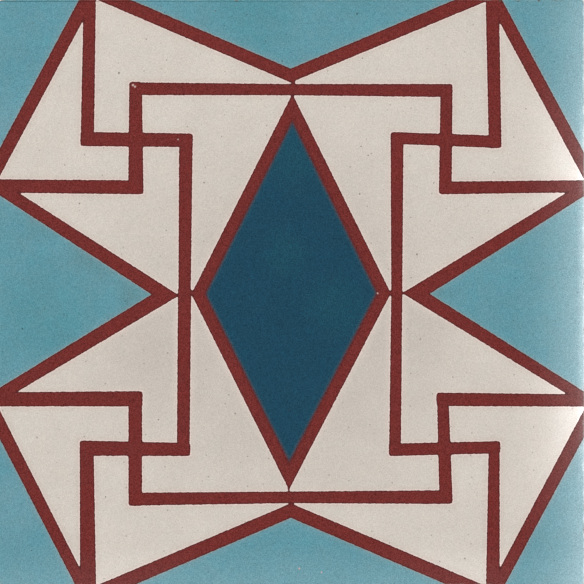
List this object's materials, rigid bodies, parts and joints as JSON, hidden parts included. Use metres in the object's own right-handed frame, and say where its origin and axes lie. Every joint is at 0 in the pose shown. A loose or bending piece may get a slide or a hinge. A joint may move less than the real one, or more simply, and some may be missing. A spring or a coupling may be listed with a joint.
{
  "type": "cement tile",
  "caption": "Square pressed cement floor tile with a coloured strapwork face and a keyed back, laid in a mortar bed as flooring or wall cladding.",
  "frame": {"origin": "middle of the back, on the plane that the tile rests on", "axes": "+Z out of the coloured face; +Y along the long axis of the rhombus; +X to the right of it when the face is looked at"},
  "size_m": [0.2, 0.2, 0.016],
  "materials": {
    "pigmented_cement": "pressed pigmented cement, smooth and matt with a faint sheen"
  },
  "bodies": {
    "root": {"tile": "pigmented_cement"}
  },
  "joints": []
}
